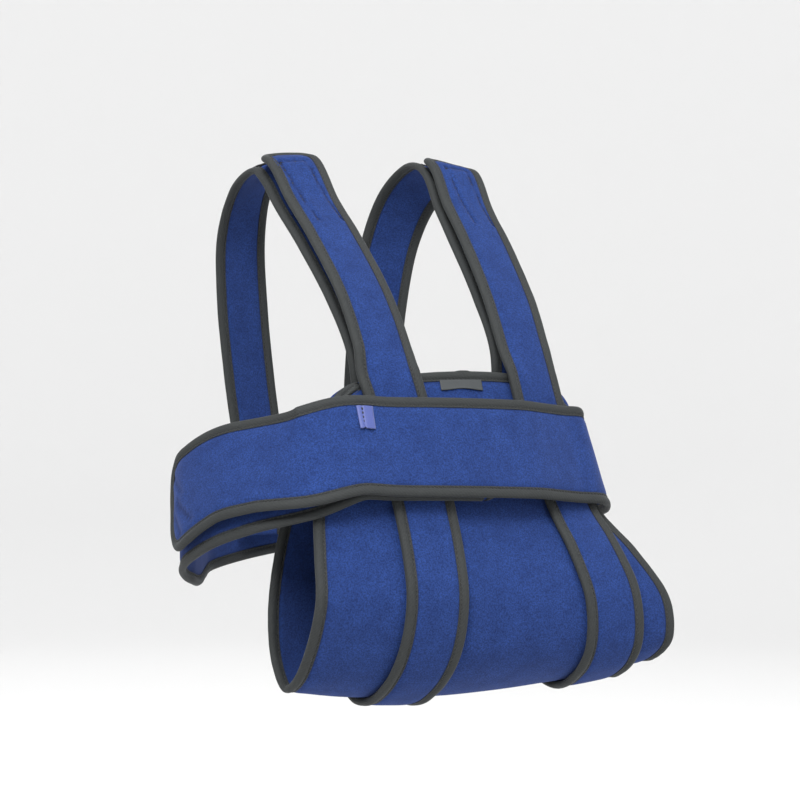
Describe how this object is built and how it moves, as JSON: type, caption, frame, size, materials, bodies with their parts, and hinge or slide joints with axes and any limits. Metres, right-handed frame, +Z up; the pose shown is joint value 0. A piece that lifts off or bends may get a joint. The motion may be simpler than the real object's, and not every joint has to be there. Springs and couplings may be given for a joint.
{
  "type": "shoulder immobilization vest",
  "caption": "Worn shoulder brace: a forearm trough hung from two shoulder straps, held to the body by a wrap-around belt.",
  "frame": {"origin": "midway between the two straps, at the height where they rest on top of the shoulders", "axes": "+Z up, -Y to the wearer's front, +X to the wearer's left"},
  "size_m": [0.3565, 0.3203, 0.4189],
  "materials": {
    "velour_laminate": "brushed loop velour on foam, royal blue, matt with a soft sheen",
    "binding_tape": "charcoal polyester binding tape, matt",
    "pile_tape": "black looped pile, matt",
    "ribbon": "violet blue woven ribbon, slightly shiny",
    "label_cloth": "grey woven label, bare"
  },
  "bodies": {
    "root": {"sling_panel": "velour_laminate", "sling_panel_binding": "binding_tape", "right_strap": "velour_laminate", "right_strap_binding": "binding_tape", "right_shoulder_patch": "pile_tape", "left_strap": "velour_laminate", "left_strap_binding": "binding_tape", "left_shoulder_patch": "pile_tape", "belt": "velour_laminate", "belt_binding": "binding_tape", "ribbon_tab": "ribbon", "label": "label_cloth"}
  },
  "joints": []
}
